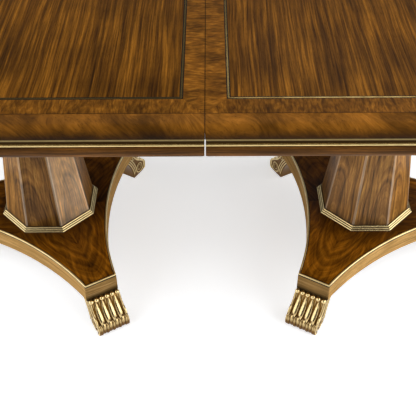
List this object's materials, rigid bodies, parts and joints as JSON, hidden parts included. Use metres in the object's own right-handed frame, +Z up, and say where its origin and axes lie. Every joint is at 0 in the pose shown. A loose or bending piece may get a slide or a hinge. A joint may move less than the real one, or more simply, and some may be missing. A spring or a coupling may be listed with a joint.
{
  "type": "double pedestal dining table",
  "caption": "Extending dining table in two veneered halves on tapered octagonal pedestals with three-cornered platforms, gilt scroll feet, brass inlay and a rack-and-pinion slide.",
  "frame": {"origin": "on the floor under the middle of the split between the halves", "axes": "+X along the table from the left half to the right half, +Y away from the viewer, +Z up"},
  "size_m": [1.828, 0.914, 0.762],
  "materials": {
    "field_walnut": "figured walnut veneer, French polished",
    "border_walnut": "walnut veneer, French polished",
    "moulding_walnut": "cross-grained walnut on a moulded ground, polished",
    "rail_walnut": "walnut veneer on a moulded ground, polished",
    "column_walnut": "walnut with upright grain, satin polished",
    "platform_top_walnut": "dark figured walnut veneer, polished",
    "platform_edge_walnut": "light walnut veneer, satin",
    "ebonised_line": "ebonised pear, polished",
    "brass_inlay": "flat brass strip, polished flush",
    "brass_rim": "drawn brass, lacquered",
    "brass_arris": "drawn brass, lacquered",
    "gilt_collar": "cast brass, fire gilt",
    "cast_brass": "cast brass, chased, dark in the hollows",
    "board_wood": "planed softwood",
    "bearer_wood": "planed beech",
    "runner_wood": "planed beech, waxed",
    "steel": "turned steel, bright",
    "gear_iron": "machined cast iron, oiled",
    "lock_brass": "stamped brass"
  },
  "bodies": {
    "left_half": {"top_core_left": "board_wood", "field_veneer_left": "field_walnut", "border_veneer_left": "border_walnut", "ebony_lines_left": "ebonised_line", "brass_string_left": "brass_inlay", "edge_moulding_left": "moulding_walnut", "brass_rim_left": "brass_rim", "lower_rail_left": "rail_walnut", "bearers_left": "bearer_wood", "column_head_left": "bearer_wood", "fixed_runners_left": "runner_wood", "column_staves_left": "column_walnut", "column_collar_left": "gilt_collar", "tie_rod_left": "steel", "platform_core_left": "board_wood", "platform_edge_veneer_left": "platform_edge_walnut", "platform_top_veneer_left": "platform_top_walnut", "platform_brass_arris_left": "brass_arris", "platform_ebony_lines_left": "ebonised_line", "scroll_foot_outer_left": "cast_brass", "scroll_foot_front_left": "cast_brass", "scroll_foot_rear_left": "cast_brass", "foot_bolts_left": "steel", "wood_screws_left": "steel", "rack_left": "gear_iron", "lock_plates_left": "lock_brass", "alignment_pins_left": "lock_brass"},
    "right_half": {"top_core_right": "board_wood", "field_veneer_right": "field_walnut", "border_veneer_right": "border_walnut", "ebony_lines_right": "ebonised_line", "brass_string_right": "brass_inlay", "edge_moulding_right": "moulding_walnut", "brass_rim_right": "brass_rim", "lower_rail_right": "rail_walnut", "bearers_right": "bearer_wood", "column_head_right": "bearer_wood", "fixed_runners_right": "runner_wood", "column_staves_right": "column_walnut", "column_collar_right": "gilt_collar", "tie_rod_right": "steel", "platform_core_right": "board_wood", "platform_edge_veneer_right": "platform_edge_walnut", "platform_top_veneer_right": "platform_top_walnut", "platform_brass_arris_right": "brass_arris", "platform_ebony_lines_right": "ebonised_line", "scroll_foot_outer_right": "cast_brass", "scroll_foot_front_right": "cast_brass", "scroll_foot_rear_right": "cast_brass", "foot_bolts_right": "steel", "wood_screws_right": "steel", "rack_right": "gear_iron", "lock_keepers_right": "lock_brass"},
    "carriage": {"middle_runners": "runner_wood", "carriage_ties": "runner_wood", "pinion_pin": "steel"},
    "pinion": {"pinion": "gear_iron"},
    "lock_lever_front": {"lock_lever_front": "lock_brass"},
    "lock_lever_rear": {"lock_lever_rear": "lock_brass"}
  },
  "joints": [
    {"name": "right_half_slide", "type": "slide", "parent": "left_half", "child": "right_half", "axis": [1, 0, 0], "range_m": [0, 0.61]},
    {"name": "carriage_slide", "type": "slide", "parent": "left_half", "child": "carriage", "axis": [1, 0, 0], "range_m": [0, 0.306]},
    {"name": "pinion_spin", "type": "hinge", "parent": "carriage", "child": "pinion", "pos_m": [0, 0, 0.711], "axis": [0, 0, 1], "range_deg": [0, 584]},
    {"name": "front_lock_pivot", "type": "hinge", "parent": "left_half", "child": "lock_lever_front", "pos_m": [-0.035, -0.25, 0.724], "axis": [0, 0, -1], "range_deg": [0, 90]},
    {"name": "rear_lock_pivot", "type": "hinge", "parent": "left_half", "child": "lock_lever_rear", "pos_m": [-0.035, 0.25, 0.724], "axis": [0, 0, 1], "range_deg": [0, 90]}
  ],
  "couplings": [
    {"joint": "carriage_slide", "follows": "right_half_slide", "ratio": 0.5},
    {"joint": "pinion_spin", "follows": "right_half_slide", "rad_per_m": 16.667}
  ]
}
